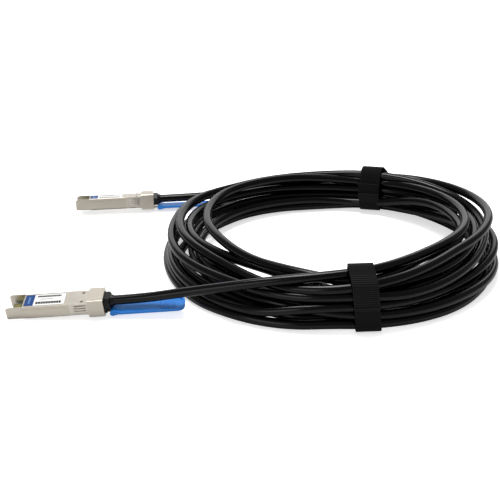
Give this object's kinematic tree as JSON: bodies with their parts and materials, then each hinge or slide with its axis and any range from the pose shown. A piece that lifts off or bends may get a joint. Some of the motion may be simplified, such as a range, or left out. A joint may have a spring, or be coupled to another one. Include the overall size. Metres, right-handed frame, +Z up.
{
  "type": "direct attach copper cable",
  "caption": "Twin-pair copper cable with a pull-tab latched pluggable module at each end, coiled and held by hook-and-loop ties.",
  "frame": {"origin": "on the floor, under the middle of the box that holds the two modules", "axes": "+X from the modules towards the coil, +Y from the near module to the far one, +Z up"},
  "size_m": [0.3028, 0.1899, 0.0372],
  "materials": {
    "die_cast_metal": "nickel plated zinc casting, satin",
    "clip_steel": "plated spring steel",
    "board_green": "green solder mask on glass laminate",
    "gold_plate": "gold plated pads",
    "chip_black": "moulded epoxy",
    "capacitor_ceramic": "fired ceramic",
    "wire_insulation": "foil wrapped pairs",
    "ferrule_copper": "drawn copper",
    "boot_black": "moulded, matt",
    "label_film": "white film with a dark blue band, no print",
    "screw_steel": "zinc plated",
    "latch_steel": "stamped stainless",
    "spring_steel": "drawn wire",
    "tab_blue": "moulded nylon, satin",
    "jacket_black": "extruded soft vinyl, semi gloss",
    "tie_fabric": "woven hook and loop"
  },
  "bodies": {
    "cable_and_housings": {"near_housing_base": "die_cast_metal", "near_housing_cover": "die_cast_metal", "near_spring_clip": "clip_steel", "near_circuit_board": "board_green", "near_contact_fingers": "gold_plate", "near_memory_chip": "chip_black", "near_capacitors": "capacitor_ceramic", "near_signal_wires": "wire_insulation", "near_crimp_ferrule": "ferrule_copper", "near_strain_relief": "boot_black", "near_label": "label_film", "near_housing_screws": "screw_steel", "near_latch_pin": "latch_steel", "near_return_springs": "spring_steel", "far_housing_base": "die_cast_metal", "far_housing_cover": "die_cast_metal", "far_spring_clip": "clip_steel", "far_circuit_board": "board_green", "far_contact_fingers": "gold_plate", "far_memory_chip": "chip_black", "far_capacitors": "capacitor_ceramic", "far_signal_wires": "wire_insulation", "far_crimp_ferrule": "ferrule_copper", "far_strain_relief": "boot_black", "far_label": "label_film", "far_housing_screws": "screw_steel", "far_latch_pin": "latch_steel", "far_return_springs": "spring_steel", "cable_lead_near": "jacket_black", "cable_lead_far": "jacket_black", "cable_coil": "jacket_black", "cable_tie_near": "tie_fabric", "cable_tie_far": "tie_fabric"},
    "near_pull": {"near_latch_slider": "latch_steel", "near_pull_tab": "tab_blue"},
    "near_latch": {"near_latch_lever": "latch_steel"},
    "far_pull": {"far_latch_slider": "latch_steel", "far_pull_tab": "tab_blue"},
    "far_latch": {"far_latch_lever": "latch_steel"}
  },
  "joints": [
    {"name": "near_pull_slide", "type": "slide", "parent": "cable_and_housings", "child": "near_pull", "axis": [0.9975, 0.0021, 0.0711], "range_m": [0, 0.0025], "stiffness_N_per_m": 600, "springref_m": -0.001, "deforming": ["near_return_springs"]},
    {"name": "near_latch_hinge", "type": "hinge", "parent": "cable_and_housings", "child": "near_latch", "pos_m": [-0.01797, -0.07954, 0.00405], "axis": [0.0112, -0.9918, -0.1276], "range_deg": [0, 4.82]},
    {"name": "far_pull_slide", "type": "slide", "parent": "cable_and_housings", "child": "far_pull", "axis": [0.9932, 0.1165, 0.0047], "range_m": [0, 0.0025], "stiffness_N_per_m": 600, "springref_m": -0.001, "deforming": ["far_return_springs"]},
    {"name": "far_latch_hinge", "type": "hinge", "parent": "cable_and_housings", "child": "far_latch", "pos_m": [-0.00599, 0.0747, 0.00393], "axis": [0.1141, -0.9797, 0.165], "range_deg": [0, 4.82]}
  ],
  "couplings": [
    {"joint": "near_latch_hinge", "follows": "near_pull_slide", "rad_per_m": 33.51},
    {"joint": "far_latch_hinge", "follows": "far_pull_slide", "rad_per_m": 33.51}
  ]
}
